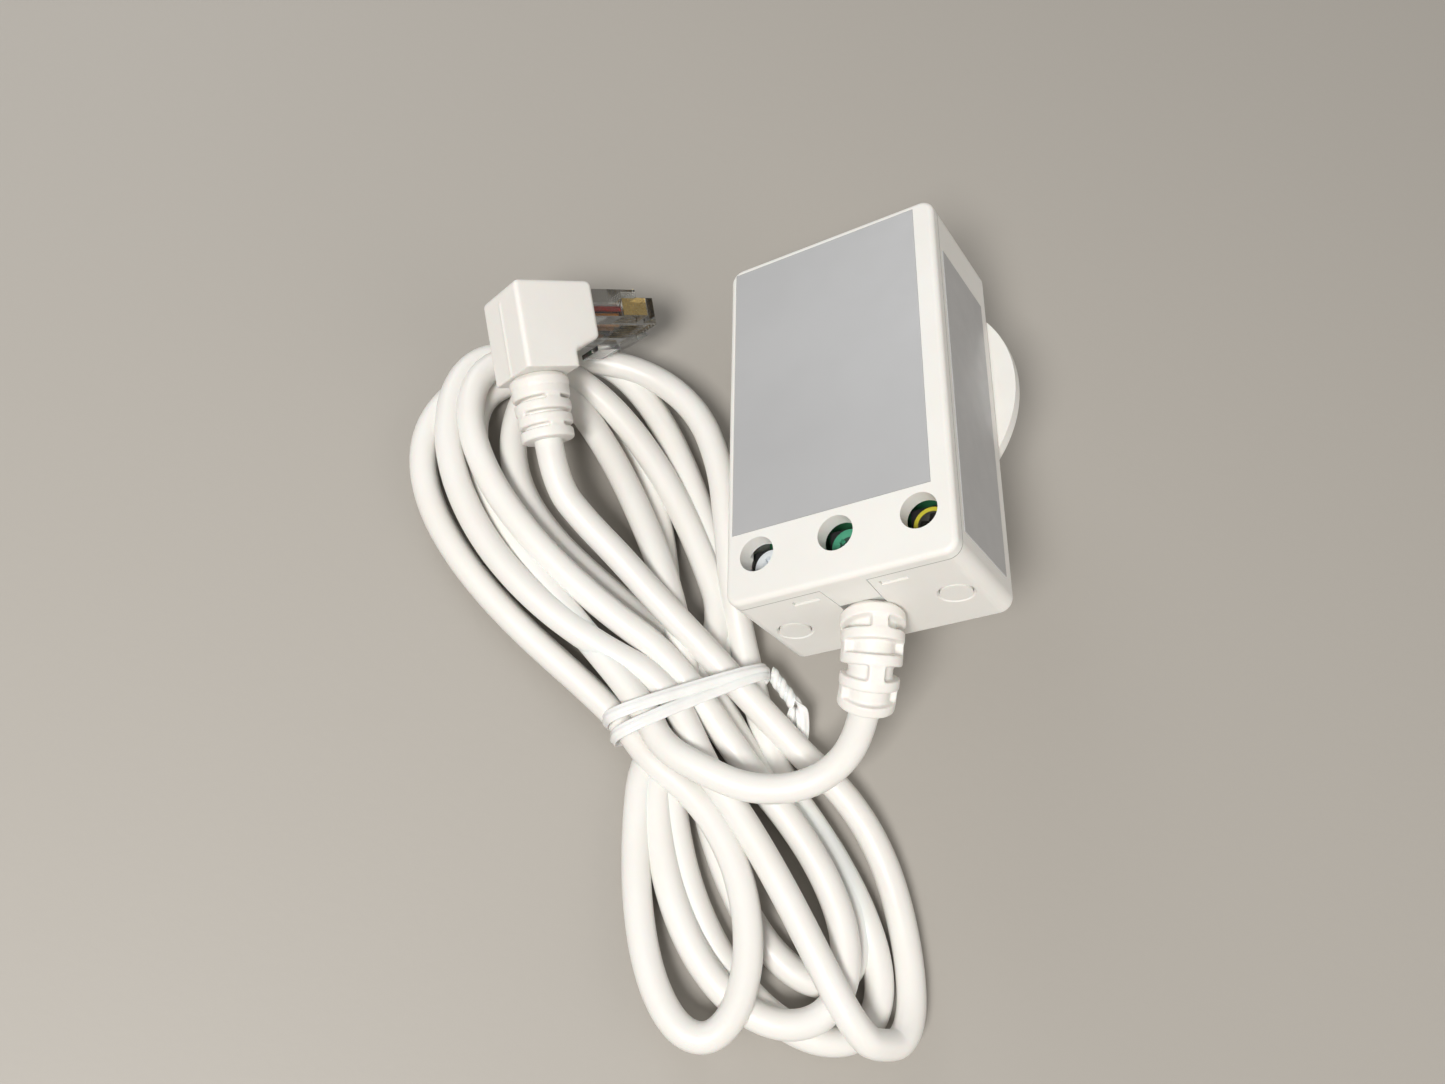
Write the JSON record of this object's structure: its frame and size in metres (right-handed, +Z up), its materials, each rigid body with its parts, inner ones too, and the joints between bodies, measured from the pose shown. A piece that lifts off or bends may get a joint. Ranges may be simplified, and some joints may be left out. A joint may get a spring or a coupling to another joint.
{
  "type": "wired occupancy motion sensor",
  "caption": "Box-shaped wired motion sensor with round lens, screwdriver adjusters under the lid, ribbed strain relief and a hanked cord with a right-angled modular plug.",
  "frame": {"origin": "on the surface that the sensor lies on, under the middle of its bounding box, the cord, its strain relief and its plug left out", "axes": "+Z up from that surface, +Y along the case, away from its cord end; the case lies rolled onto its lens ring"},
  "size_m": [0.1028, 0.139, 0.0533],
  "materials": {
    "case_plastic": "moulded satin",
    "label_film": "satin print film",
    "lens_plastic": "translucent moulded",
    "board_laminate": "solder mask",
    "screw_steel": "zinc plated",
    "chip_black": "moulded",
    "sensor_can": "plated can",
    "filter_glass": "coated filter",
    "lead_metal": "tinned",
    "led_clear": "tinted lens",
    "rotor_white": "moulded",
    "rotor_green": "moulded",
    "rotor_yellow": "moulded",
    "cord_jacket": "smooth vinyl",
    "wire_insulation": "vinyl",
    "tie_film": "plastic coated wire",
    "clear_plug": "clear moulded",
    "contact_gold": "gold plated",
    "spacer_white": "moulded"
  },
  "bodies": {
    "root": {"front_housing": "case_plastic", "rear_cover": "case_plastic", "rear_label": "label_film", "side_label": "label_film", "lens_ring": "case_plastic", "fresnel_lens": "lens_plastic", "circuit_board": "board_laminate", "board_screws": "screw_steel", "pir_spacer": "spacer_white", "pir_can": "sensor_can", "pir_window": "filter_glass", "pir_leads": "lead_metal", "led_indicator": "led_clear", "wire_header": "spacer_white", "lead_wires": "wire_insulation", "microcontroller": "chip_black", "signal_amplifier": "chip_black", "electrolytic_capacitor": "sensor_can", "voltage_regulator": "chip_black", "small_board_parts": "chip_black", "adjuster_body_left": "chip_black", "adjuster_body_middle": "chip_black", "adjuster_body_right": "chip_black", "sensor_strain_relief": "cord_jacket", "plug_overmould": "cord_jacket", "plug_boot": "cord_jacket", "plug_body": "clear_plug", "plug_contacts": "contact_gold", "plug_conductors": "wire_insulation", "cable_hank": "cord_jacket", "twist_tie": "tie_film", "cable_sensor_lead": "cord_jacket", "cable_plug_lead": "cord_jacket"},
    "adjuster_left": {"adjuster_rotor_left": "rotor_white"},
    "adjuster_middle": {"adjuster_rotor_middle": "rotor_green"},
    "adjuster_right": {"adjuster_rotor_right": "rotor_yellow"},
    "latch": {"plug_latch": "clear_plug"}
  },
  "joints": [
    {"name": "adjuster_left_turn", "type": "hinge", "parent": "root", "child": "adjuster_left", "pos_m": [-0.01656, -0.02666, 0.02591], "axis": [-0.6428, 0.1, 0.7595], "range_deg": [-135, 135]},
    {"name": "adjuster_middle_turn", "type": "hinge", "parent": "root", "child": "adjuster_middle", "pos_m": [-0.00569, -0.02547, 0.03496], "axis": [-0.6428, 0.1, 0.7595], "range_deg": [-135, 135]},
    {"name": "adjuster_right_turn", "type": "hinge", "parent": "root", "child": "adjuster_right", "pos_m": [0.00519, -0.02428, 0.04401], "axis": [-0.6428, 0.1, 0.7595], "range_deg": [-135, 135]},
    {"name": "latch_press", "type": "hinge", "parent": "root", "child": "latch", "pos_m": [-0.04117, 0.02289, 0.01077], "axis": [-0.4169, 0.1057, -0.9028], "range_deg": [0, 11], "stiffness_Nm_per_rad": 0.04}
  ]
}
